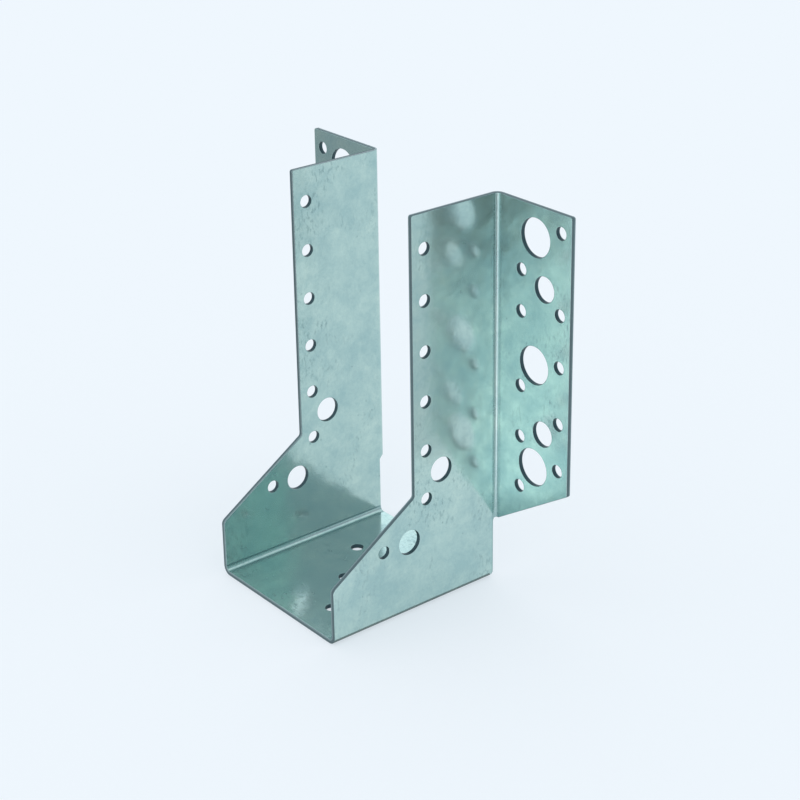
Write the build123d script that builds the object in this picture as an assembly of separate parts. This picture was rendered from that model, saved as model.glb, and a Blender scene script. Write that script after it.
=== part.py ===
"""Joist hanger: one galvanised steel blank, punched and then folded four times.

Millimetres. X runs across the joist, Y runs along the joist into the header, Z is up.
The origin is under the middle of the hanger, in the plane of the seat's underside.
"""

import os

from build123d import *

# Sheet and folds
sheet = 2.0
seat_fold_radius = 2.0  # inside radius, seat to cheek
flange_fold_radius = 1.5  # inside radius, cheek to flange

# Joist pocket
joist_width = 76.0  # between the inner faces of the cheeks
hanger_height = 176.0  # seat underside to top edge
cheek_depth = 86.5  # front edge to back edge, the same on the seat and both cheeks

# Outline of a cheek
strip_depth = 43.5  # the narrow upper part, back from its front edge to the cheek's back edge
flare_foot_height = 25.5  # where the slanted edge leaves the front edge
flare_top_height = 53.5  # where the slanted edge meets the narrow part
flare_foot_rounding = 3.0
flare_top_rounding = 2.0
corner_rounding = 1.0

# Outline of a flange
flange_width = 43.0  # cheek's outer face to the free edge
flange_length_at_fold = 146.5  # down from the top edge
flange_length_at_edge = 120.5
flange_foot_rounding = 2.0  # hollow corner where the flange's foot runs into the cheek's back edge

# Punched holes
nail_hole = 5.5
bolt_hole = 11.0
anchor_hole = 16.5

# Cheek holes
nail_count = 6
nail_pitch = 22.0
nail_top_drop = 15.0  # top edge to the first nail hole
nail_edge_distance = 6.5  # back from the narrow part's front edge
upper_bolt_edge_distance = 14.5  # back from the narrow part's front edge
lower_row_height = 34.0  # above the seat's underside, for the two holes below
lower_bolt_depth = 40.0  # back from the cheek's front edge
lower_nail_depth = 26.5

# Flange holes: distances out from the cheek's outer face
inner_nail_offset = 14.5
outer_nail_offset = 37.0
anchor_offset = 22.5
flange_bolt_offset = 28.0

# Each group is a large hole's drop below the top edge, then the steps down from it
# to the inner and to the outer nail hole that go with it
anchor_groups = ((13.5, 15.5, -5.5), (68.5, 11.5, -3.5), (114.5, 11.5, -3.5))
flange_bolt_groups = ((34.0, 13.0, 8.5), (97.5, 5.5, -7.5))

# Seat holes: a slanting row of three
seat_row_depth = 36.0  # middle hole, back from the front edge
seat_row_step_across = 17.0
seat_row_step_along = 20.0

# Worked out from the sizes above
pocket_x = joist_width / 2
cheek_outer_x = pocket_x + sheet
wall_middle_x = pocket_x + sheet / 2
flange_edge_x = cheek_outer_x + flange_width
flange_fold_end_x = cheek_outer_x + flange_fold_radius
hanger_depth = cheek_depth + flange_fold_radius + sheet
front_y = -hanger_depth / 2
header_y = hanger_depth / 2  # back faces of the flanges, the plane that meets the header
flange_front_y = header_y - sheet
cheek_back_y = front_y + cheek_depth
strip_front_y = cheek_back_y - strip_depth
seat_leg_top = 2 * sheet + seat_fold_radius  # a sheet's thickness above the fold, where the cheek is flat
flange_foot_at_fold = hanger_height - flange_length_at_fold
flange_foot_at_edge = hanger_height - flange_length_at_edge
punch_travel = 3 * sheet  # a punch starts and ends well clear of the sheet


def folded_section(outside, inside, inside_radius):
    """Cross-section of the folded sheet, from the corner points of its outer and its inner face."""
    outer_face = FilletPolyline(*outside, radius=inside_radius + sheet)
    inner_face = FilletPolyline(*inside, radius=inside_radius)
    cut_ends = [Line(outer_face @ 0, inner_face @ 0), Line(outer_face @ 1, inner_face @ 1)]
    return make_face([*outer_face.edges(), *inner_face.edges(), *cut_ends])


def folded_seat():
    """Seat and the two folds beside it, with the first bit of each cheek above them."""
    section = folded_section(
        [
            (-cheek_outer_x, seat_leg_top),
            (-cheek_outer_x, 0),
            (cheek_outer_x, 0),
            (cheek_outer_x, seat_leg_top),
        ],
        [
            (-pocket_x, seat_leg_top),
            (-pocket_x, sheet),
            (pocket_x, sheet),
            (pocket_x, seat_leg_top),
        ],
        seat_fold_radius,
    )
    return extrude(Plane.XZ.offset(-front_y) * section, -cheek_depth)


def folded_cheek():
    """Right cheek with its flange, as one folded wall of full height, not yet cut to outline."""
    section = folded_section(
        [(pocket_x, front_y), (pocket_x, header_y), (flange_edge_x, header_y)],
        [(cheek_outer_x, front_y), (cheek_outer_x, flange_front_y), (flange_edge_x, flange_front_y)],
        flange_fold_radius,
    )
    return extrude(Plane.XY.offset(seat_leg_top) * section, hanger_height - seat_leg_top)


def corner(outline, x, y):
    """The corner of a flat outline at one of its points."""
    return outline.vertices().sort_by_distance((x, y, 0))[0]


def side_outline():
    """What the hanger covers when it is seen from the side."""
    outline = make_face(
        Polyline(
            (front_y, 0),
            (front_y, flare_foot_height),
            (strip_front_y, flare_top_height),
            (strip_front_y, hanger_height),
            (header_y, hanger_height),
            (header_y, flange_foot_at_fold),
            (cheek_back_y, flange_foot_at_fold),
            (cheek_back_y, 0),
            close=True,
        )
    )
    outline = fillet(corner(outline, front_y, flare_foot_height), flare_foot_rounding)
    outline = fillet(corner(outline, strip_front_y, flare_top_height), flare_top_rounding)
    outline = fillet(corner(outline, strip_front_y, hanger_height), corner_rounding)
    outline = fillet(corner(outline, cheek_back_y, flange_foot_at_fold), flange_foot_rounding)
    return extrude(Plane.YZ * outline, flange_edge_x, both=True)


def front_outline():
    """What the right half covers when it is seen from the front, with the slanted foot of the flange."""
    outline = make_face(
        Polyline(
            (0, 0),
            (flange_fold_end_x, 0),
            (flange_fold_end_x, flange_foot_at_fold),
            (flange_edge_x, flange_foot_at_edge),
            (flange_edge_x, hanger_height),
            (0, hanger_height),
            close=True,
        )
    )
    outline = fillet(corner(outline, flange_edge_x, flange_foot_at_edge), corner_rounding)
    outline = fillet(corner(outline, flange_edge_x, hanger_height), corner_rounding)
    return extrude(Plane.XZ * outline, hanger_depth, both=True)


def cheek_punches():
    """Punches through both cheeks: the nail column, the two bolt holes and the low nail hole."""
    nail_y = strip_front_y + nail_edge_distance
    nail_heights = [hanger_height - nail_top_drop - i * nail_pitch for i in range(nail_count)]
    upper_bolt_height = (nail_heights[-1] + nail_heights[-2]) / 2
    holes = [(nail_y, height, nail_hole) for height in nail_heights]
    holes.append((strip_front_y + upper_bolt_edge_distance, upper_bolt_height, bolt_hole))
    holes.append((front_y + lower_bolt_depth, lower_row_height, bolt_hole))
    holes.append((front_y + lower_nail_depth, lower_row_height, nail_hole))
    return [
        Pos(side * wall_middle_x, y, height) * Rot(0, 90, 0) * Cylinder(diameter / 2, punch_travel)
        for side in (-1, 1)
        for y, height, diameter in holes
    ]


def flange_holes():
    """Offset, drop and diameter of each hole in a flange, group by group down from the top."""
    large_holes = [(anchor_offset, anchor_hole, *group) for group in anchor_groups]
    large_holes += [(flange_bolt_offset, bolt_hole, *group) for group in flange_bolt_groups]
    for offset, diameter, drop, inner_step, outer_step in large_holes:
        yield offset, drop, diameter
        yield inner_nail_offset, drop + inner_step, nail_hole
        yield outer_nail_offset, drop + outer_step, nail_hole


def flange_punches():
    """Punches through both flanges, the same pattern on each side."""
    return [
        Pos(side * (cheek_outer_x + offset), header_y - sheet / 2, hanger_height - drop)
        * Rot(90, 0, 0)
        * Cylinder(diameter / 2, punch_travel)
        for side in (-1, 1)
        for offset, drop, diameter in flange_holes()
    ]


def seat_punches():
    """Punches through the seat, in a row that slants across it."""
    return [
        Pos(
            step * seat_row_step_across,
            front_y + seat_row_depth - step * seat_row_step_along,
            sheet / 2,
        )
        * Cylinder(nail_hole / 2, punch_travel)
        for step in (-1, 0, 1)
    ]


right_wall = folded_cheek() & front_outline()
hanger = folded_seat() + right_wall + mirror(right_wall, Plane.YZ)
hanger = hanger & side_outline()
hanger = hanger - [*cheek_punches(), *flange_punches(), *seat_punches()]
hanger.label = "hanger_sheet"

os.makedirs("parts", exist_ok=True)
export_step(hanger, "parts/hanger_sheet.step")
box = hanger.bounding_box()
print("box", box.min, box.max)
print("volume", round(hanger.volume, 1), "solids", len(hanger.solids()), "valid", hanger.is_valid)
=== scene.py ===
"""The looks of a joist hanger in galvanised sheet steel.

The sheet is made the way the real one is: a flat blank is cut and punched, which rolls its edges
over a little, and then it is folded at the seat and at the flanges. The blank is worked on in
millimetres, and the fold's last step turns it to metres.
X runs across the joist, Y runs along the joist into the header, Z is up.
"""

from math import cos, pi, radians, sin

import bmesh
import bpy
from mathutils import Matrix, Vector


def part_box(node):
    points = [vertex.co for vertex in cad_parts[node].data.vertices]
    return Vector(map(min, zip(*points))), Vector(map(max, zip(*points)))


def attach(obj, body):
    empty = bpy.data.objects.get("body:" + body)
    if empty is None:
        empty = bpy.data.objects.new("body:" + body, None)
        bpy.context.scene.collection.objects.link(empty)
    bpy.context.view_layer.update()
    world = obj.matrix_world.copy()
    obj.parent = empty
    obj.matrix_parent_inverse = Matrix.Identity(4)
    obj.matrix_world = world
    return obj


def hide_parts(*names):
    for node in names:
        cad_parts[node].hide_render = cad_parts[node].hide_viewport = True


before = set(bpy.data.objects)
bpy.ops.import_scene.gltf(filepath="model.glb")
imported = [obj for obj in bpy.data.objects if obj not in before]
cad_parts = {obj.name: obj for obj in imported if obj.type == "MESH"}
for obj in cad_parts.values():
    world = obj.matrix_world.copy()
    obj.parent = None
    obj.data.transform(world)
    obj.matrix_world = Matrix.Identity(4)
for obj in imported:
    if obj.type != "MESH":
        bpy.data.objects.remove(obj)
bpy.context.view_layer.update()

MM = 0.001
PALE = "#EFF7FE"  # the pale floor and background
floor_reach = 6.0  # metres from the middle to the floor's edges
floor_evenness = 0.6  # how far the floor's look is evened out, which makes the shadow faint

# Sheet and folds, in millimetres
sheet = 2.0
seat_fold_radius = 2.0  # inside radius, seat to cheek
flange_fold_radius = 1.5  # inside radius, cheek to flange
edge_roll = 0.25  # how far the shear and the punches round the sheet's edges
fold_facets = 12  # facets in a quarter turn
corner_facets = 6  # steps in a rounded corner of the outline
roll_facets = 3  # steps in a rolled edge
hole_facets = 64  # sides of a punched hole
weld = 0.002  # points closer than this become one
snap = 0.001  # a score line takes the points that lie closer than this as its own
flattest_cut = 0.8  # a face of the flat blank is cut steel while its normal's Z is less than this

# Outline of a cheek
strip_depth = 43.5
flare_foot_height = 25.5
flare_top_height = 53.5
flare_foot_rounding = 3.0
flare_top_rounding = 2.0
corner_rounding = 1.0

# Outline of a flange
flange_width = 43.0
flange_length_at_fold = 146.5
flange_length_at_edge = 120.5
flange_foot_rounding = 2.0

# Punched holes
nail_hole = 5.5
bolt_hole = 11.0
anchor_hole = 16.5

# Cheek holes
nail_count = 6
nail_pitch = 22.0
nail_top_drop = 15.0
nail_edge_distance = 6.5
upper_bolt_edge_distance = 14.5
lower_row_height = 34.0
lower_bolt_depth = 40.0
lower_nail_depth = 26.5

# Flange holes: distances out from the cheek's outer face
inner_nail_offset = 14.5
outer_nail_offset = 37.0
anchor_offset = 22.5
flange_bolt_offset = 28.0

# Each group is a large hole's drop below the top edge, then the steps down from it
# to the inner and to the outer nail hole that go with it
anchor_groups = ((13.5, 15.5, -5.5), (68.5, 11.5, -3.5), (114.5, 11.5, -3.5))
flange_bolt_groups = ((34.0, 13.0, 8.5), (97.5, 5.5, -7.5))

# Seat holes: a slanting row of three
seat_row_depth = 36.0
seat_row_step_across = 17.0
seat_row_step_along = 20.0

# Worked out from the sizes above and from the solid
box_low, box_high = (Vector(corner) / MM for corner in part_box("hanger_sheet"))
hanger_height = box_high.z - box_low.z
front_y = box_low.y
cheek_back_y = box_high.y - flange_fold_radius - sheet
strip_front_y = cheek_back_y - strip_depth
joist_width = 2 * (box_high.x - flange_width - sheet)
cheek_outer_x = joist_width / 2 + sheet
seat_fold_middle = seat_fold_radius + sheet / 2  # radius to the middle of the sheet
flange_fold_middle = flange_fold_radius + sheet / 2
seat_fold_start = joist_width / 2 - seat_fold_radius  # distance across, where the seat ends
flange_foot_at_fold = hanger_height - flange_length_at_fold
flange_foot_at_edge = hanger_height - flange_length_at_edge


def cheek_across(height):
    """Distance across the flat blank to a height on the folded cheek."""
    flat_part = height - sheet / 2 - seat_fold_middle
    return seat_fold_start + seat_fold_middle * pi / 2 + flat_part


def flange_along(offset):
    """Distance along the flat blank to an offset out from the cheek's outer face."""
    return cheek_back_y + flange_fold_middle * pi / 2 + offset - flange_fold_radius


def half_outline():
    """Corners of the blank's right half with their roundings, from the front to the back."""
    flange_edge = flange_along(flange_width)
    return [
        (cheek_across(flare_foot_height), front_y, flare_foot_rounding),
        (cheek_across(flare_top_height), strip_front_y, flare_top_rounding),
        (cheek_across(hanger_height), strip_front_y, corner_rounding),
        (cheek_across(hanger_height), flange_edge, corner_rounding),
        (cheek_across(flange_foot_at_edge), flange_edge, corner_rounding),
        (cheek_across(flange_foot_at_fold), flange_along(flange_fold_radius), 0.0),
        (cheek_across(flange_foot_at_fold), cheek_back_y, flange_foot_rounding),
    ]


def half_holes():
    """Centres of the holes in the right cheek and flange, on the flat blank, with their diameters."""
    nail_heights = [hanger_height - nail_top_drop - i * nail_pitch for i in range(nail_count)]
    upper_bolt_height = (nail_heights[-1] + nail_heights[-2]) / 2
    nail_y = strip_front_y + nail_edge_distance
    holes = [(cheek_across(height), nail_y, nail_hole) for height in nail_heights]
    upper_bolt_y = strip_front_y + upper_bolt_edge_distance
    holes.append((cheek_across(upper_bolt_height), upper_bolt_y, bolt_hole))
    holes.append((cheek_across(lower_row_height), front_y + lower_bolt_depth, bolt_hole))
    holes.append((cheek_across(lower_row_height), front_y + lower_nail_depth, nail_hole))
    large_holes = [(anchor_offset, anchor_hole, *group) for group in anchor_groups]
    large_holes += [(flange_bolt_offset, bolt_hole, *group) for group in flange_bolt_groups]
    for offset, diameter, drop, inner_step, outer_step in large_holes:
        for out, down, size in (
            (offset, drop, diameter),
            (inner_nail_offset, drop + inner_step, nail_hole),
            (outer_nail_offset, drop + outer_step, nail_hole),
        ):
            holes.append((cheek_across(hanger_height - down), flange_along(out), size))
    return holes


def seat_holes():
    """The slanting row in the seat."""
    return [
        (step * seat_row_step_across, front_y + seat_row_depth - step * seat_row_step_along, nail_hole)
        for step in (-1, 0, 1)
    ]


def node(tree, kind, inputs=(), **settings):
    """Add a node with its own settings. Each input takes a value, or the output that feeds it."""
    made = tree.nodes.new(kind)
    for name, value in settings.items():
        setattr(made, name, value)
    for name, value in dict(inputs).items():
        if isinstance(value, bpy.types.NodeSocket):
            tree.links.new(value, made.inputs[name])
        else:
            made.inputs[name].default_value = value
    return made


def linear(hex_colour):
    """Linear RGBA of an sRGB colour written as hex."""
    channels = [int(hex_colour[i : i + 2], 16) / 255 for i in (1, 3, 5)]
    return [c / 12.92 if c <= 0.04045 else ((c + 0.055) / 1.055) ** 2.4 for c in channels] + [1.0]


def new_geometry_tree(name, inputs):
    """An empty geometry tree that takes a mesh and the named inputs, and gives a mesh."""
    tree = bpy.data.node_groups.new(name, "GeometryNodeTree")
    tree.interface.new_socket("Geometry", in_out="INPUT", socket_type="NodeSocketGeometry")
    for label, kind in inputs:
        tree.interface.new_socket(label, in_out="INPUT", socket_type=kind)
    tree.interface.new_socket("Geometry", in_out="OUTPUT", socket_type="NodeSocketGeometry")
    return tree


def run_tree(piece, tree, values):
    """Give a piece the tree as a modifier, with its inputs set."""
    modifier = piece.modifiers.new(tree.name, "NODES")
    modifier.node_group = tree
    for item in tree.interface.items_tree:
        if item.in_out == "INPUT" and item.name in values:
            modifier[item.identifier] = values[item.name]


def make_plain(piece):
    """Turn what the modifiers make into the piece's own mesh, and take them off."""
    evaluated = piece.evaluated_get(bpy.context.evaluated_depsgraph_get())
    finished = bpy.data.meshes.new_from_object(evaluated)
    # The nodes leave an empty slot in front of the steel's own
    if finished.materials[0] is None:
        finished.materials.pop(index=0)
    piece.modifiers.clear()
    piece.data = finished


def punching_tree():
    """Cut the outline with its roundings, punch the holes and give the blank its thickness.

    The cut edge is a section swept along every cut, so that the shear and the punches leave it
    rolled over, and the two faces are filled in between.
    """
    tree = new_geometry_tree(
        "Punched blank",
        [
            ("Corner steps", "NodeSocketInt"),
            ("Edge steps", "NodeSocketInt"),
            ("Hole points", "NodeSocketInt"),
            ("Sheet", "NodeSocketFloat"),
            ("Steel", "NodeSocketMaterial"),
        ],
    )
    marks = node(tree, "NodeGroupInput")
    in_section = node(
        tree,
        "GeometryNodeInputNamedAttribute",
        {"Name": "edge_section"},
        data_type="BOOLEAN",
    )
    in_outline = node(
        tree,
        "FunctionNodeBooleanMath",
        {0: in_section.outputs["Attribute"]},
        operation="NOT",
    )
    rounding = node(
        tree,
        "GeometryNodeInputNamedAttribute",
        {"Name": "rounding"},
        data_type="FLOAT",
    )
    drawn = {}
    for part, chosen, steps in (
        ("outline", in_outline.outputs["Boolean"], "Corner steps"),
        ("section", in_section.outputs["Attribute"], "Edge steps"),
    ):
        line = node(
            tree,
            "GeometryNodeMeshToCurve",
            {"Mesh": marks.outputs["Geometry"], "Selection": chosen},
        )
        line = node(
            tree,
            "GeometryNodeFilletCurve",
            {
                "Curve": line.outputs["Curve"],
                "Count": marks.outputs[steps],
                "Radius": rounding.outputs["Attribute"],
            },
            mode="POLY",
        )
        drawn[part] = line.outputs["Curve"]

    hole_radius = node(
        tree,
        "GeometryNodeInputNamedAttribute",
        {"Name": "hole_radius"},
        data_type="FLOAT",
    )
    is_hole = node(
        tree,
        "FunctionNodeCompare",
        {"A": hole_radius.outputs["Attribute"], "B": 0.0},
        data_type="FLOAT",
        operation="GREATER_THAN",
    )
    centres = node(
        tree,
        "GeometryNodeMeshToPoints",
        {"Mesh": marks.outputs["Geometry"], "Selection": is_hole.outputs["Result"]},
    )
    punch = node(
        tree,
        "GeometryNodeCurvePrimitiveCircle",
        {"Resolution": marks.outputs["Hole points"], "Radius": 1.0},
    )
    # The steel lies on the left of every cut, so a hole is gone round the other way
    punch = node(tree, "GeometryNodeReverseCurve", {"Curve": punch.outputs["Curve"]})
    punches = node(
        tree,
        "GeometryNodeInstanceOnPoints",
        {
            "Points": centres.outputs["Points"],
            "Instance": punch.outputs["Curve"],
            "Scale": hole_radius.outputs["Attribute"],
        },
    )
    punches = node(tree, "GeometryNodeRealizeInstances", {"Geometry": punches.outputs["Instances"]})
    punches = node(
        tree,
        "GeometryNodeStoreNamedAttribute",
        {"Geometry": punches.outputs["Geometry"], "Name": "punched", "Value": 1.0},
        data_type="FLOAT",
        domain="POINT",
    )
    cuts = node(tree, "GeometryNodeJoinGeometry")
    tree.links.new(drawn["outline"], cuts.inputs["Geometry"])
    tree.links.new(punches.outputs["Geometry"], cuts.inputs["Geometry"])
    level_cuts = node(
        tree,
        "GeometryNodeSetCurveNormal",
        {"Curve": cuts.outputs["Geometry"]},
        mode="Z_UP",
    )
    edge = node(
        tree,
        "GeometryNodeCurveToMesh",
        {"Curve": level_cuts.outputs["Curve"], "Profile Curve": drawn["section"]},
    )

    neighbours = node(tree, "GeometryNodeInputMeshEdgeNeighbors")
    is_rim = node(
        tree,
        "FunctionNodeCompare",
        {2: neighbours.outputs["Face Count"], 3: 1},
        data_type="INT",
        operation="EQUAL",
    )
    place = node(tree, "GeometryNodeInputPosition")
    apart = node(tree, "ShaderNodeSeparateXYZ", {"Vector": place.outputs["Position"]})
    is_upper = node(
        tree,
        "FunctionNodeCompare",
        {"A": apart.outputs["Z"], "B": 0.0},
        data_type="FLOAT",
        operation="GREATER_THAN",
    )
    upper_rim = node(
        tree,
        "FunctionNodeBooleanMath",
        {0: is_rim.outputs["Result"], 1: is_upper.outputs["Result"]},
        operation="AND",
    )
    rims = node(
        tree,
        "GeometryNodeMeshToCurve",
        {"Mesh": edge.outputs["Mesh"], "Selection": upper_rim.outputs["Boolean"]},
    )
    face = node(tree, "GeometryNodeFillCurve", {"Curve": rims.outputs["Curve"]}, mode="TRIANGLES")
    whole = node(tree, "GeometryNodeJoinGeometry")
    tree.links.new(edge.outputs["Mesh"], whole.inputs["Geometry"])
    for side in (0.5, -0.5):
        rise = node(tree, "ShaderNodeMath", {0: marks.outputs["Sheet"], 1: side}, operation="MULTIPLY")
        rise = node(tree, "ShaderNodeCombineXYZ", {"Z": rise.outputs[0]})
        skin = node(
            tree,
            "GeometryNodeSetPosition",
            {"Geometry": face.outputs["Mesh"], "Offset": rise.outputs["Vector"]},
        )
        skin = skin.outputs["Geometry"]
        if side < 0:
            skin = node(tree, "GeometryNodeFlipFaces", {"Mesh": skin}).outputs["Mesh"]
        tree.links.new(skin, whole.inputs["Geometry"])
    closed = node(
        tree,
        "GeometryNodeMergeByDistance",
        {"Geometry": whole.outputs["Geometry"], "Distance": weld},
    )
    plain = node(tree, "GeometryNodeRealizeInstances", {"Geometry": closed.outputs["Geometry"]})
    steel = node(
        tree,
        "GeometryNodeSetMaterial",
        {"Geometry": plain.outputs["Geometry"], "Material": marks.outputs["Steel"]},
    )
    result = node(tree, "NodeGroupOutput")
    tree.links.new(steel.outputs["Geometry"], result.inputs["Geometry"])
    return tree


def bend_group():
    """One quarter-turn fold, as a rule for a point of the sheet.

    Past is how far the point lies past the fold's start, Outward how far it lies from the middle
    of the sheet towards the fold's outer side. Along and Outward out are its place after the fold,
    and Angle is how far the sheet has turned there.
    """
    tree = bpy.data.node_groups.new("Quarter fold", "GeometryNodeTree")
    for label in ("Past", "Outward", "Radius"):
        tree.interface.new_socket(label, in_out="INPUT", socket_type="NodeSocketFloat")
    for label in ("Along", "Outward", "Angle"):
        tree.interface.new_socket(label, in_out="OUTPUT", socket_type="NodeSocketFloat")
    given = node(tree, "NodeGroupInput")
    past = given.outputs["Past"]
    outward = given.outputs["Outward"]
    radius = given.outputs["Radius"]
    before = node(tree, "ShaderNodeMath", {0: past, 1: 0.0}, operation="MINIMUM")
    ratio = node(tree, "ShaderNodeMath", {0: past, 1: radius}, operation="DIVIDE")
    turned = node(tree, "ShaderNodeClamp", {"Value": ratio.outputs[0], "Min": 0.0, "Max": pi / 2})
    arc = node(tree, "ShaderNodeMath", {0: radius, 1: pi / 2}, operation="MULTIPLY")
    rest = node(tree, "ShaderNodeMath", {0: past, 1: arc.outputs[0]}, operation="SUBTRACT")
    after = node(tree, "ShaderNodeMath", {0: rest.outputs[0], 1: 0.0}, operation="MAXIMUM")
    sine = node(tree, "ShaderNodeMath", {0: turned.outputs[0]}, operation="SINE")
    cosine = node(tree, "ShaderNodeMath", {0: turned.outputs[0]}, operation="COSINE")
    reach = node(tree, "ShaderNodeMath", {0: radius, 1: outward}, operation="ADD")
    along = node(
        tree,
        "ShaderNodeMath",
        {0: reach.outputs[0], 1: sine.outputs[0], 2: before.outputs[0]},
        operation="MULTIPLY_ADD",
    )
    height = node(
        tree,
        "ShaderNodeMath",
        {0: reach.outputs[0], 1: cosine.outputs[0]},
        operation="MULTIPLY",
    )
    height = node(tree, "ShaderNodeMath", {0: height.outputs[0], 1: radius}, operation="SUBTRACT")
    height = node(
        tree,
        "ShaderNodeMath",
        {0: height.outputs[0], 1: after.outputs[0]},
        operation="SUBTRACT",
    )
    result = node(tree, "NodeGroupOutput")
    tree.links.new(along.outputs[0], result.inputs["Along"])
    tree.links.new(height.outputs[0], result.inputs["Outward"])
    tree.links.new(turned.outputs[0], result.inputs["Angle"])
    return tree


def folding_tree():
    """Fold the flanges outwards and the cheeks up, and tell the cut edges from the coated faces."""
    tree = new_geometry_tree(
        "Folded sheet",
        [
            ("Sheet", "NodeSocketFloat"),
            ("Edge roll", "NodeSocketFloat"),
            ("Flange fold start", "NodeSocketFloat"),
            ("Flange fold radius", "NodeSocketFloat"),
            ("Seat fold start", "NodeSocketFloat"),
            ("Seat fold radius", "NodeSocketFloat"),
            ("Scale", "NodeSocketFloat"),
            ("Coated steel", "NodeSocketMaterial"),
            ("Cut steel", "NodeSocketMaterial"),
        ],
    )
    bend = bend_group()
    given = node(tree, "NodeGroupInput")
    place = node(tree, "GeometryNodeInputPosition")
    blank = node(
        tree,
        "GeometryNodeStoreNamedAttribute",
        {"Geometry": given.outputs["Geometry"], "Name": "blank", "Value": place.outputs["Position"]},
        data_type="FLOAT_VECTOR",
        domain="POINT",
    )
    flat = node(tree, "ShaderNodeSeparateXYZ", {"Vector": place.outputs["Position"]})
    half = node(tree, "ShaderNodeMath", {0: given.outputs["Sheet"], 1: 0.5}, operation="MULTIPLY")

    # Which way the flat blank's surface faces: straight up or down on the two faces, so that they
    # shade dead flat, and turning over evenly round the rolled edges
    normal = node(tree, "GeometryNodeInputNormal")
    level = node(
        tree,
        "ShaderNodeVectorMath",
        {0: normal.outputs["Normal"], 1: (1.0, 1.0, 0.0)},
        operation="MULTIPLY",
    )
    level = node(tree, "ShaderNodeVectorMath", {0: level.outputs["Vector"]}, operation="NORMALIZE")
    height = node(tree, "ShaderNodeMath", {0: flat.outputs["Z"]}, operation="ABSOLUTE")
    under_face = node(
        tree,
        "ShaderNodeMath",
        {0: half.outputs[0], 1: height.outputs[0]},
        operation="SUBTRACT",
    )
    rolled = node(
        tree,
        "ShaderNodeMath",
        {0: under_face.outputs[0], 1: given.outputs["Edge roll"]},
        operation="DIVIDE",
    )
    rise = node(tree, "ShaderNodeMath", {0: 1.0, 1: rolled.outputs[0]}, operation="SUBTRACT")
    rise = node(tree, "ShaderNodeClamp", {"Value": rise.outputs[0], "Min": 0.0, "Max": 1.0})
    squared = node(tree, "ShaderNodeMath", {0: rise.outputs[0], 1: 2.0}, operation="POWER")
    run = node(tree, "ShaderNodeMath", {0: 1.0, 1: squared.outputs[0]}, operation="SUBTRACT")
    run = node(tree, "ShaderNodeMath", {0: run.outputs[0]}, operation="SQRT")
    level = node(
        tree,
        "ShaderNodeVectorMath",
        {0: level.outputs["Vector"], "Scale": run.outputs[0]},
        operation="SCALE",
    )
    up_or_down = node(tree, "ShaderNodeMath", {0: flat.outputs["Z"]}, operation="SIGN")
    rise = node(
        tree,
        "ShaderNodeMath",
        {0: rise.outputs[0], 1: up_or_down.outputs[0]},
        operation="MULTIPLY",
    )
    rise = node(tree, "ShaderNodeCombineXYZ", {"Z": rise.outputs[0]})
    facing = node(
        tree,
        "ShaderNodeVectorMath",
        {0: level.outputs["Vector"], 1: rise.outputs["Vector"]},
        operation="ADD",
    )

    true_facing = node(tree, "ShaderNodeSeparateXYZ", {"Vector": normal.outputs["True Normal"]})
    true_facing = node(tree, "ShaderNodeMath", {0: true_facing.outputs["Z"]}, operation="ABSOLUTE")
    is_cut = node(
        tree,
        "FunctionNodeCompare",
        {"A": true_facing.outputs[0], "B": flattest_cut},
        data_type="FLOAT",
        operation="LESS_THAN",
    )
    blank = node(
        tree,
        "GeometryNodeStoreNamedAttribute",
        {"Geometry": blank.outputs["Geometry"], "Name": "cut_edge", "Value": is_cut.outputs["Result"]},
        data_type="BOOLEAN",
        domain="FACE",
    )

    past = node(
        tree,
        "ShaderNodeMath",
        {0: flat.outputs["Y"], 1: given.outputs["Flange fold start"]},
        operation="SUBTRACT",
    )
    flange = node(
        tree,
        "GeometryNodeGroup",
        {
            "Past": past.outputs[0],
            "Outward": flat.outputs["Z"],
            "Radius": given.outputs["Flange fold radius"],
        },
        node_tree=bend,
    )
    y = node(
        tree,
        "ShaderNodeMath",
        {0: flange.outputs["Along"], 1: given.outputs["Flange fold start"]},
        operation="ADD",
    )

    across = node(tree, "ShaderNodeMath", {0: flat.outputs["X"]}, operation="ABSOLUTE")
    past = node(
        tree,
        "ShaderNodeMath",
        {0: across.outputs[0], 1: given.outputs["Seat fold start"]},
        operation="SUBTRACT",
    )
    outward = node(
        tree,
        "ShaderNodeMath",
        {0: flange.outputs["Outward"], 1: -1.0},
        operation="MULTIPLY",
    )
    seat = node(
        tree,
        "GeometryNodeGroup",
        {
            "Past": past.outputs[0],
            "Outward": outward.outputs[0],
            "Radius": given.outputs["Seat fold radius"],
        },
        node_tree=bend,
    )
    across = node(
        tree,
        "ShaderNodeMath",
        {0: seat.outputs["Along"], 1: given.outputs["Seat fold start"]},
        operation="ADD",
    )
    side = node(tree, "ShaderNodeMath", {0: flat.outputs["X"]}, operation="SIGN")
    x = node(tree, "ShaderNodeMath", {0: across.outputs[0], 1: side.outputs[0]}, operation="MULTIPLY")
    z = node(
        tree,
        "ShaderNodeMath",
        {0: half.outputs[0], 1: seat.outputs["Outward"]},
        operation="SUBTRACT",
    )
    folded = node(
        tree,
        "ShaderNodeCombineXYZ",
        {"X": x.outputs[0], "Y": y.outputs[0], "Z": z.outputs[0]},
    )
    scaled = node(
        tree,
        "ShaderNodeVectorMath",
        {0: folded.outputs["Vector"], "Scale": given.outputs["Scale"]},
        operation="SCALE",
    )

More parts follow.
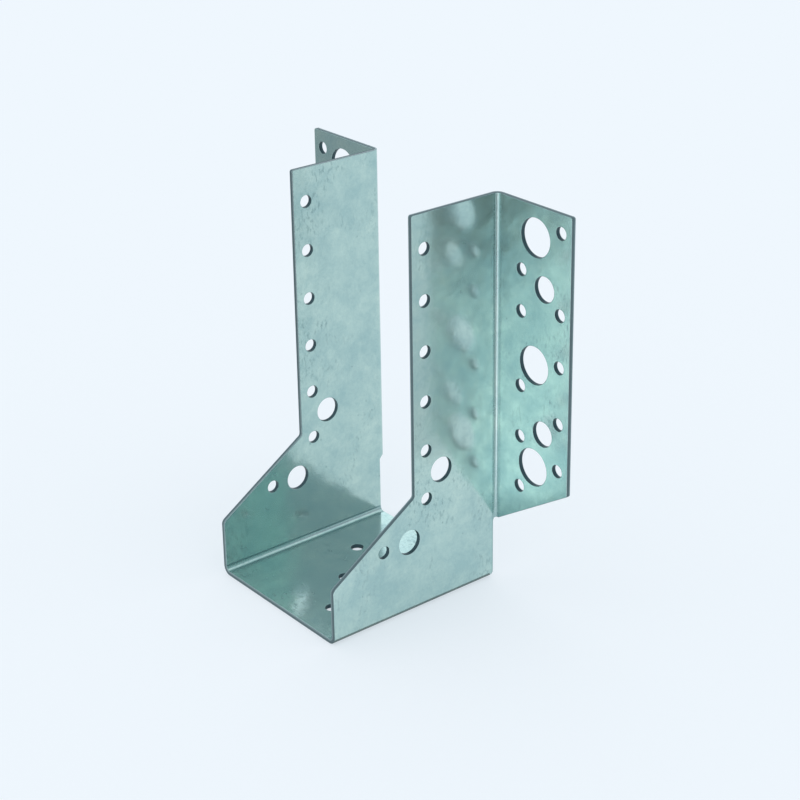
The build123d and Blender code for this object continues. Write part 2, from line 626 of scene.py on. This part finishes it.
    # The surface turns with the sheet, first round the flange's fold and then round the seat's
    turn = node(tree, "ShaderNodeMath", {0: flange.outputs["Angle"], 1: -1.0}, operation="MULTIPLY")
    facing = node(
        tree,
        "ShaderNodeVectorRotate",
        {"Vector": facing.outputs["Vector"], "Angle": turn.outputs[0]},
        rotation_type="X_AXIS",
    )
    turn = node(
        tree,
        "ShaderNodeMath",
        {0: seat.outputs["Angle"], 1: side.outputs[0]},
        operation="MULTIPLY",
    )
    turn = node(tree, "ShaderNodeMath", {0: turn.outputs[0], 1: -1.0}, operation="MULTIPLY")
    facing = node(
        tree,
        "ShaderNodeVectorRotate",
        {"Vector": facing.outputs["Vector"], "Angle": turn.outputs[0]},
        rotation_type="Y_AXIS",
    )
    faced = node(
        tree,
        "GeometryNodeStoreNamedAttribute",
        {"Geometry": blank.outputs["Geometry"], "Name": "facing", "Value": facing.outputs["Vector"]},
        data_type="FLOAT_VECTOR",
        domain="POINT",
    )
    placed = node(
        tree,
        "GeometryNodeSetPosition",
        {"Geometry": faced.outputs["Geometry"], "Position": scaled.outputs["Vector"]},
    )
    smooth = node(tree, "GeometryNodeSetShadeSmooth", {"Geometry": placed.outputs["Geometry"]})
    facing = node(
        tree,
        "GeometryNodeInputNamedAttribute",
        {"Name": "facing"},
        data_type="FLOAT_VECTOR",
    )
    shaded = node(
        tree,
        "GeometryNodeSetMeshNormal",
        {"Mesh": smooth.outputs["Geometry"], "Custom Normal": facing.outputs["Attribute"]},
        mode="TANGENT_SPACE",
    )
    kept = shaded.outputs["Mesh"]
    for name in ("facing", "rounding", "hole_radius", "edge_section"):
        removed = node(tree, "GeometryNodeRemoveAttribute", {"Geometry": kept, "Name": name})
        kept = removed.outputs["Geometry"]
    plain = node(tree, "GeometryNodeRealizeInstances", {"Geometry": kept})
    coated = node(
        tree,
        "GeometryNodeSetMaterial",
        {"Geometry": plain.outputs["Geometry"], "Material": given.outputs["Coated steel"]},
    )
    cut_edge = node(
        tree,
        "GeometryNodeInputNamedAttribute",
        {"Name": "cut_edge"},
        data_type="BOOLEAN",
    )
    edged = node(
        tree,
        "GeometryNodeSetMaterial",
        {
            "Geometry": coated.outputs["Geometry"],
            "Selection": cut_edge.outputs["Attribute"],
            "Material": given.outputs["Cut steel"],
        },
    )
    result = node(tree, "NodeGroupOutput")
    tree.links.new(edged.outputs["Geometry"], result.inputs["Geometry"])
    return tree


def marked_out_blank():
    """The blank's outline as a loop of edges, its hole centres as points, and the cut's section.

    The section is the line from one face of the sheet round to the other at a cut edge, with the
    steel on the left.
    """
    right = half_outline()
    left = [(-x, y, rounding) for x, y, rounding in reversed(right)]
    corners = right + left
    right_holes = half_holes()
    holes = right_holes + [(-x, y, size) for x, y, size in right_holes] + seat_holes()
    section = [
        (-edge_roll, -sheet / 2, 0.0),
        (0.0, -sheet / 2, edge_roll),
        (0.0, sheet / 2, edge_roll),
        (-edge_roll, sheet / 2, 0.0),
    ]
    first_mark = len(corners) + len(holes)
    mesh = bpy.data.meshes.new("blank")
    points = [(x, y, 0.0) for x, y, _ in corners + holes + section]
    lines = [(i, (i + 1) % len(corners)) for i in range(len(corners))]
    lines += [(i, i + 1) for i in range(first_mark, first_mark + len(section) - 1)]
    mesh.from_pydata(points, lines, [])
    rounding = mesh.attributes.new("rounding", "FLOAT", "POINT")
    hole_radius = mesh.attributes.new("hole_radius", "FLOAT", "POINT")
    edge_section = mesh.attributes.new("edge_section", "BOOLEAN", "POINT")
    for i, corner in enumerate(corners):
        rounding.data[i].value = corner[2]
    for i, hole in enumerate(holes, len(corners)):
        hole_radius.data[i].value = hole[2] / 2
    for i, mark in enumerate(section, first_mark):
        rounding.data[i].value = mark[2]
        edge_section.data[i].value = True
    return mesh


def score_folds(mesh):
    """Divide the flat blank along every fold, so that it can bend there."""
    shape = bmesh.new()
    shape.from_mesh(mesh)
    steps = [i / fold_facets * pi / 2 for i in range(fold_facets + 1)]
    lines = []
    for turn in steps:
        along = cheek_back_y + flange_fold_middle * turn
        lines.append((Vector((0, along, 0)), Vector((0, 1, 0))))
    for side in (-1, 1):
        for turn in steps:
            across = side * (seat_fold_start + seat_fold_middle * turn)
            lines.append((Vector((across, 0, 0)), Vector((1, 0, 0))))
    for place, direction in lines:
        everything = shape.verts[:] + shape.edges[:] + shape.faces[:]
        bmesh.ops.bisect_plane(
            shape,
            geom=everything,
            plane_co=place,
            plane_no=direction,
            dist=snap,
        )
    shape.to_mesh(mesh)
    shape.free()


def add_material(name):
    """A new material with an empty tree, and that tree's output node."""
    material = bpy.data.materials.new(name)
    material.use_nodes = True
    tree = material.node_tree
    tree.nodes.clear()
    return material, tree, node(tree, "ShaderNodeOutputMaterial")


def blank_place(tree, through_sheet):
    """Place on the flat blank in millimetres, stretched or shrunk through the sheet's thickness."""
    place = node(tree, "ShaderNodeAttribute", attribute_name="blank")
    return node(
        tree,
        "ShaderNodeMapping",
        {"Vector": place.outputs["Vector"], "Scale": (1.0, 1.0, through_sheet)},
        vector_type="POINT",
    ).outputs["Vector"]


def fold_painted_shade(tree):
    """Painted shade in a fold's hollow side, where the crease falls into shade: a dark line at each end
    and a band in it.
    """
    place = node(tree, "ShaderNodeAttribute", attribute_name="blank")
    apart = node(tree, "ShaderNodeSeparateXYZ", {"Vector": place.outputs["Vector"]})
    height = apart.outputs["Z"]
    upper = node(tree, "ShaderNodeMath", {0: height, 1: 0.0}, operation="GREATER_THAN").outputs[0]
    lower = node(tree, "ShaderNodeMath", {0: height, 1: 0.0}, operation="LESS_THAN").outputs[0]
    across = node(tree, "ShaderNodeMath", {0: apart.outputs["X"]}, operation="ABSOLUTE").outputs[0]
    along = apart.outputs["Y"]
    seat_fold = seat_fold_middle * pi / 2
    flange_fold = flange_fold_middle * pi / 2
    # Which way a line is reached, its hollow side, its place, its half width and its darkness
    lines = (
        (across, upper, seat_fold_start, 0.6, 0.8),
        (across, upper, seat_fold_start + 0.75 * seat_fold, 0.25 * seat_fold, 0.4),
        (across, upper, seat_fold_start + seat_fold, 0.6, 0.85),
        (along, lower, cheek_back_y - 0.2, 0.8, 0.35),
        (along, lower, cheek_back_y + 0.5 * flange_fold, 0.6 * flange_fold, 0.3),
        (along, lower, cheek_back_y + flange_fold, 0.5, 0.12),
    )
    marks = 0.0
    for reach, hollow_side, line, half_width, darkness in lines:
        off = node(tree, "ShaderNodeMath", {0: reach, 1: line}, operation="SUBTRACT")
        off = node(tree, "ShaderNodeMath", {0: off.outputs[0]}, operation="ABSOLUTE")
        mark = node(
            tree,
            "ShaderNodeMapRange",
            {
                "Value": off.outputs[0],
                "From Min": 0.3 * half_width,
                "From Max": half_width,
                "To Min": darkness,
                "To Max": 0.0,
            },
            interpolation_type="SMOOTHSTEP",
        )
        mark = node(
            tree,
            "ShaderNodeMath",
            {0: mark.outputs["Result"], 1: hollow_side},
            operation="MULTIPLY",
        )
        darkest = node(tree, "ShaderNodeMath", {0: mark.outputs[0], 1: marks}, operation="MAXIMUM")
        marks = darkest.outputs[0]
    return marks


def galvanised_steel():
    """Hot-dip galvanised sheet, skin-passed: a bluish semi-bright zinc skin with a fine pressed grain.

    Stacked and handled, it has scuffs in patches and specks. The dark lines and bands along its folds are
    painted shade.
    """
    material, tree, out = add_material("galvanised_steel_sheet")
    shader = node(tree, "ShaderNodeBsdfPrincipled")
    tree.links.new(shader.outputs["BSDF"], out.inputs["Surface"])
    # Stretched through the sheet, so that the patterns on its two faces are unlike
    place = blank_place(tree, 40.0)

    # Broad clouds about 30 mm across, where the zinc set thicker or thinner
    clouds = node(tree, "ShaderNodeTexNoise", {"Vector": place, "Scale": 1 / 30, "Detail": 1.0})
    # Zinc crystals pressed flat, about 4 mm across
    crystals = node(
        tree,
        "ShaderNodeTexVoronoi",
        {"Vector": place, "Scale": 1 / 4, "Smoothness": 0.8},
        feature="SMOOTH_F1",
    )
    crystal_tone = node(tree, "ShaderNodeRGBToBW", {"Color": crystals.outputs["Color"]})
    # Pressed grain of the skin-pass rolls: really about 0.1 mm, drawn as 1.2 mm so that it shows
    grain = node(
        tree,
        "ShaderNodeTexNoise",
        {"Vector": place, "Scale": 1 / 1.2, "Detail": 2.0, "Roughness": 0.6},
    )
    # Smudges about 8 mm across, from handling
    smudges = node(
        tree,
        "ShaderNodeTexNoise",
        {"Vector": place, "Scale": 1 / 8, "Detail": 3.0, "Roughness": 0.6, "Distortion": 0.5},
    )
    tone = 0.0
    for pattern, share in (
        (clouds.outputs["Fac"], 0.35),
        (smudges.outputs["Fac"], 0.3),
        (crystal_tone.outputs["Val"], 0.13),
        (grain.outputs["Fac"], 0.22),
    ):
        added = node(
            tree,
            "ShaderNodeMath",
            {0: pattern, 1: share, 2: tone},
            operation="MULTIPLY_ADD",
        )
        tone = added.outputs[0]
    # The patterns' sum stays near the middle, so the ramp is a short one
    zinc = node(tree, "ShaderNodeValToRGB", {"Fac": tone})
    zinc.color_ramp.elements[0].position = 0.36
    zinc.color_ramp.elements[0].color = linear("#A5C5C4")
    zinc.color_ramp.elements[1].position = 0.64
    zinc.color_ramp.elements[1].color = linear("#C0DAD3")

    # Scuffs: strokes about 1 mm wide and 2 mm long, up and down the cheeks, in patches of 25 mm
    stroke_place = node(
        tree,
        "ShaderNodeMapping",
        {"Vector": place, "Scale": (1 / 2, 1 / 1, 1.0), "Rotation": (0.0, 0.0, radians(-20))},
        vector_type="POINT",
    )
    strokes = node(
        tree,
        "ShaderNodeTexNoise",
        {"Vector": stroke_place.outputs["Vector"], "Scale": 0.7, "Detail": 2.0, "Roughness": 0.55},
    )
    strokes = node(
        tree,
        "ShaderNodeMapRange",
        {"Value": strokes.outputs["Fac"], "From Min": 0.5, "From Max": 0.7},
        interpolation_type="SMOOTHSTEP",
    )
    patches = node(
        tree,
        "ShaderNodeTexNoise",
        {"Vector": place, "Scale": 1 / 25, "Detail": 2.0, "Distortion": 0.6},
    )
    patches = node(
        tree,
        "ShaderNodeMapRange",
        {"Value": patches.outputs["Fac"], "From Min": 0.47, "From Max": 0.64},
        interpolation_type="SMOOTHSTEP",
    )
    scuffs = node(
        tree,
        "ShaderNodeMath",
        {0: strokes.outputs["Result"], 1: patches.outputs["Result"]},
        operation="MULTIPLY",
    )
    # Specks of dross about 0.7 mm across, one to a few square centimetres
    specks = node(tree, "ShaderNodeTexVoronoi", {"Vector": place, "Scale": 1 / 5})
    near = node(
        tree,
        "ShaderNodeMapRange",
        {
            "Value": specks.outputs["Distance"],
            "From Min": 0.05,
            "From Max": 0.12,
            "To Min": 1.0,
            "To Max": 0.0,
        },
    )
    chosen = node(tree, "ShaderNodeSeparateColor", {"Color": specks.outputs["Color"]})
    chosen = node(tree, "ShaderNodeMath", {0: chosen.outputs["Red"], 1: 0.72}, operation="GREATER_THAN")
    specks = node(
        tree,
        "ShaderNodeMath",
        {0: near.outputs["Result"], 1: chosen.outputs[0]},
        operation="MULTIPLY",
    )
    dark = node(tree, "ShaderNodeMath", {0: scuffs.outputs[0], 1: specks.outputs[0]}, operation="MAXIMUM")
    # Scuffs and specks take the colour less than half of the way to the dark one
    dark = node(tree, "ShaderNodeMath", {0: dark.outputs[0], 1: 0.42}, operation="MULTIPLY")
    # The painted shade along the folds' hollow sides darkens the zinc further, up to most of the way
    dark = node(tree, "ShaderNodeMath", {0: dark.outputs[0], 1: fold_painted_shade(tree)}, operation="MAXIMUM")
    # 6F9094 is the colour of the scuffs and specks, and of the painted shade in the folds
    skin = node(
        tree,
        "ShaderNodeMix",
        {"Factor": dark.outputs[0], 6: zinc.outputs["Color"], 7: linear("#6F9094")},
        data_type="RGBA",
    )
    tree.links.new(skin.outputs[2], shader.inputs["Base Color"])
    # Air has left a thin dull film on the zinc, which is why it isn't all metal
    shader.inputs["Metallic"].default_value = 0.88
    # The paler zinc is the smoother, and a mark is rougher than the zinc round it
    shine = node(
        tree,
        "ShaderNodeMapRange",
        {"Value": tone, "From Min": 0.4, "From Max": 0.6, "To Min": 0.2, "To Max": 0.145},
    )
    shine = node(
        tree,
        "ShaderNodeMath",
        {0: dark.outputs[0], 1: 0.25, 2: shine.outputs["Result"]},
        operation="MULTIPLY_ADD",
    )
    tree.links.new(shine.outputs[0], shader.inputs["Roughness"])

    # The sheet is never quite flat: waves 14 mm long, the pressed grain on them, and the marks
    waves = node(tree, "ShaderNodeTexNoise", {"Vector": place, "Scale": 1 / 14, "Detail": 2.0})
    relief = node(
        tree,
        "ShaderNodeBump",
        {"Height": waves.outputs["Fac"], "Strength": 1.0, "Distance": 0.22 * MM},
    )
    for height, depth in ((grain.outputs["Fac"], 0.012), (dark.outputs[0], -0.008)):
        relief = node(
            tree,
            "ShaderNodeBump",
            {
                "Height": height,
                "Strength": 1.0,
                "Distance": depth * MM,
                "Normal": relief.outputs["Normal"],
            },
        )
    tree.links.new(relief.outputs["Normal"], shader.inputs["Normal"])
    return material


def sheared_steel():
    """Bare steel where the shear and the punches cut through the zinc.

    A cut goes in bright and smooth for the first third of the sheet and tears dark and dull after it.
    """
    material, tree, out = add_material("sheared_steel_edge")
    shader = node(tree, "ShaderNodeBsdfPrincipled", {"Metallic": 1.0})
    tree.links.new(shader.outputs["BSDF"], out.inputs["Surface"])
    # Drag lines of the tool through the sheet, about 0.5 mm apart
    lines = node(
        tree,
        "ShaderNodeTexNoise",
        {"Vector": blank_place(tree, 0.15), "Scale": 1 / 0.5, "Detail": 2.0},
    )
    # The line between the bright and the torn part of a cut wanders with them
    place = node(tree, "ShaderNodeAttribute", attribute_name="blank")
    apart = node(tree, "ShaderNodeSeparateXYZ", {"Vector": place.outputs["Vector"]})
    through = node(
        tree,
        "ShaderNodeMath",
        {0: lines.outputs["Fac"], 1: 0.7, 2: apart.outputs["Z"]},
        operation="MULTIPLY_ADD",
    )
    torn = node(
        tree,
        "ShaderNodeMapRange",
        {"Value": through.outputs[0], "From Min": 0.5, "From Max": 0.85, "To Min": 1.0, "To Max": 0.0},
    )
    cut = node(
        tree,
        "ShaderNodeMix",
        {"Factor": torn.outputs["Result"], 6: linear("#86989A"), 7: linear("#64777A")},
        data_type="RGBA",
    )
    # A punched hole's wall is painted darker than a sheared edge: #40555A is painted shade for the hollow
    # of the hole
    punched = node(tree, "ShaderNodeAttribute", attribute_name="punched")
    cut = node(
        tree,
        "ShaderNodeMix",
        {"Factor": punched.outputs["Fac"], 6: cut.outputs[2], 7: linear("#40555A")},
        data_type="RGBA",
    )
    tree.links.new(cut.outputs[2], shader.inputs["Base Color"])
    dull = node(
        tree,
        "ShaderNodeMapRange",
        {"Value": torn.outputs["Result"], "To Min": 0.28, "To Max": 0.5},
    )
    tree.links.new(dull.outputs["Result"], shader.inputs["Roughness"])
    ridged = node(
        tree,
        "ShaderNodeBump",
        {"Height": lines.outputs["Fac"], "Strength": 1.0, "Distance": 0.03 * MM},
    )
    tree.links.new(ridged.outputs["Normal"], shader.inputs["Normal"])
    return material


def hanger():
    """The whole hanger: mark out, punch, score and fold."""
    zinc = galvanised_steel()
    bare = sheared_steel()
    piece = bpy.data.objects.new("folded_sheet", marked_out_blank())
    bpy.context.scene.collection.objects.link(piece)
    run_tree(
        piece,
        punching_tree(),
        {
            "Corner steps": corner_facets,
            "Edge steps": roll_facets,
            "Hole points": hole_facets,
            "Sheet": sheet,
            "Steel": zinc,
        },
    )
    make_plain(piece)
    score_folds(piece.data)
    run_tree(
        piece,
        folding_tree(),
        {
            "Sheet": sheet,
            "Edge roll": edge_roll,
            "Flange fold start": cheek_back_y,
            "Flange fold radius": flange_fold_middle,
            "Seat fold start": seat_fold_start,
            "Seat fold radius": seat_fold_middle,
            "Scale": MM,
            "Coated steel": zinc,
            "Cut steel": bare,
        },
    )
    make_plain(piece)
    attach(piece, "root")
    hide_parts("hanger_sheet")


def seen_directly(tree):
    """1 where the camera sees this, straight or as a reflection or through glass, and 0 for its light."""
    ray = node(tree, "ShaderNodeLightPath")
    seen = ray.outputs["Is Camera Ray"]
    for other in ("Is Glossy Ray", "Is Transmission Ray"):
        both = node(tree, "ShaderNodeMath", {0: seen, 1: ray.outputs[other]}, operation="MAXIMUM")
        seen = both.outputs[0]
    return seen


def floor():
    """A plain pale floor, large enough to fill the view."""
    mesh = bpy.data.meshes.new("floor")
    corners = [(x * floor_reach, y * floor_reach, 0) for x, y in ((-1, -1), (1, -1), (1, 1), (-1, 1))]
    mesh.from_pydata(corners, [], [(0, 1, 2, 3)])
    material, tree, out = add_material("pale_paper")
    paper = node(
        tree,
        "ShaderNodeBsdfPrincipled",
        {"Base Color": linear(PALE), "Roughness": 0.9, "Specular IOR Level": 0.0},
    )
    even = node(tree, "ShaderNodeEmission", {"Color": linear(PALE), "Strength": 1.0})
    seen = seen_directly(tree)
    share = node(tree, "ShaderNodeMath", {0: seen, 1: floor_evenness}, operation="MULTIPLY")
    mixed = node(
        tree,
        "ShaderNodeMixShader",
        {"Fac": share.outputs[0], 1: paper.outputs["BSDF"], 2: even.outputs["Emission"]},
    )
    tree.links.new(mixed.outputs["Shader"], out.inputs["Surface"])
    mesh.materials.append(material)
    obj = bpy.data.objects.new("floor", mesh)
    bpy.context.scene.collection.objects.link(obj)


def reflection_card(name, corners, level=1.0, colour=PALE):
    """A card beside the hanger that is seen only as a reflection in the zinc.

    Its corners are in millimetres. It gives its material's tree and its glow, for a level that
    isn't the same all over.
    """
    mesh = bpy.data.meshes.new(name)
    places = [Vector(corner) * MM for corner in corners]
    mesh.from_pydata(places, [], [tuple(range(len(corners)))])
    material, tree, out = add_material(name)
    glow = node(tree, "ShaderNodeEmission", {"Color": linear(colour), "Strength": level})
    tree.links.new(glow.outputs["Emission"], out.inputs["Surface"])
    mesh.materials.append(material)
    card = bpy.data.objects.new(name, mesh)
    bpy.context.scene.collection.objects.link(card)
    card.visible_camera = False
    card.visible_diffuse = False
    card.visible_shadow = False
    card.visible_transmission = False
    return tree, glow


def front_card():
    """On the floor to the right: brightest where the flange mirrors it, plainer for the cheek.

    The flange's part grows brighter towards the hanger.
    """
    tree, glow = reflection_card(
        "front_card",
        [(80, -45, 1), (80, -900, 1), (900, -900, 1), (900, 5, 1), (97, 5, 1), (90, -2, 1), (80, -18, 1)],
        colour="#F9F3F9",
    )
    place = node(tree, "ShaderNodeTexCoord")
    apart = node(tree, "ShaderNodeSeparateXYZ", {"Vector": place.outputs["Object"]})
    # The cheek mirrors what lies on the far side of a line that slants across the card
    slant = 1.18
    outward = node(
        tree,
        "ShaderNodeMath",
        {0: apart.outputs["Y"], 1: slant, 2: apart.outputs["X"]},
        operation="MULTIPLY_ADD",
    )
    flange_part = node(
        tree,
        "ShaderNodeMapRange",
        {
            "Value": apart.outputs["Y"],
            "From Min": -160 * MM,
            "From Max": -30 * MM,
            "To Min": 1.8,
            "To Max": 2.2,
        },
    )
    level = node(
        tree,
        "ShaderNodeMapRange",
        {
            "Value": outward.outputs[0],
            "From Min": 90 * MM,
            "From Max": 120 * MM,
            "To Min": flange_part.outputs["Result"],
            "To Max": 0.75,
        },
    )
    tree.links.new(level.outputs["Result"], glow.inputs["Strength"])


def cards():
    """What the zinc mirrors beside the pale floor: bright cards, and darker ones round them."""
    front_card()
    reflection_card(
        "dark_front_flag",
        [(332, -243, 2), (950, -1200, 2), (1600, -600, 2), (405, -165, 2), (347, -198, 2)],
        0.02,
    )
    reflection_card(
        "right_floor_card",
        [(165, 60, 1), (460, 290, 1), (440, 345, 1), (140, 104, 1)],
        0.75,
    )
    reflection_card(
        "left_floor_card",
        [(-150, -60, 1), (-900, -60, 1), (-900, -830, 1), (-150, -80, 1)],
        0.4,
    )
    reflection_card(
        "back_right_card",
        [(700, 260, 250), (1000, 900, 250), (700, 900, 950), (400, 260, 950)],
        0.63,
        "#F0F0FE",
    )
    reflection_card(
        "back_left_card",
        [(-679, 468, 250), (-679, 468, 700), (-900, 800, 700), (-900, 800, 250)],
        1.5,
    )
    # Dark cards, seen only in the zinc, are painted shade for the narrow gap between the floor and the
    # round of each seat fold
    gap_inside = seat_fold_start + 1.3
    gap_outside = cheek_outer_x + 1.0
    gap_height = 0.15
    for name, side in (("left_gap_painted_shade", -1), ("right_gap_painted_shade", 1)):
        reflection_card(
            name,
            [
                (side * gap_inside, front_y, gap_height),
                (side * gap_outside, front_y, gap_height),
                (side * gap_outside, cheek_back_y, gap_height),
                (side * gap_inside, cheek_back_y, gap_height),
            ],
            0.25,
        )


def studio():
    """An even white room. The zinc mirrors the same pale tone that the camera sees behind it."""
    world = bpy.data.worlds.new("studio")
    bpy.context.scene.world = world
    world.use_nodes = True
    tree = world.node_tree
    seen = seen_directly(tree)
    tone = node(
        tree,
        "ShaderNodeMix",
        {"Factor": seen, 6: (1.0, 1.0, 1.0, 1.0), 7: linear(PALE)},
        data_type="RGBA",
    )
    sky = tree.nodes["Background"]
    tree.links.new(tone.outputs[2], sky.inputs["Color"])
    sky.inputs["Strength"].default_value = 1.0


def camera():
    """The photograph's viewpoint: in front and to the right, looking down on the hanger."""
    azimuth = radians(51.18)
    elevation = radians(21.62)
    roll = radians(-0.886)
    place = Vector((570.08, -434.59, 410.67)) * MM
    back = Vector((sin(azimuth) * cos(elevation), -cos(azimuth) * cos(elevation), sin(elevation)))
    right = Vector((cos(azimuth), sin(azimuth), 0))
    up = back.cross(right)
    rolled_right = cos(roll) * right + sin(roll) * up
    rolled_up = cos(roll) * up - sin(roll) * right
    turn = Matrix((rolled_right, rolled_up, back)).transposed()
    view = bpy.data.cameras.new("camera")
    view.sensor_width = 36
    view.lens = 84.01
    view.shift_y = -0.12
    obj = bpy.data.objects.new("camera", view)
    obj.matrix_world = Matrix.Translation(place) @ turn.to_4x4()
    bpy.context.scene.collection.objects.link(obj)
    bpy.context.scene.camera = obj


hanger()
floor()
cards()
studio()
camera()
bpy.context.scene.view_settings.view_transform = "Standard"
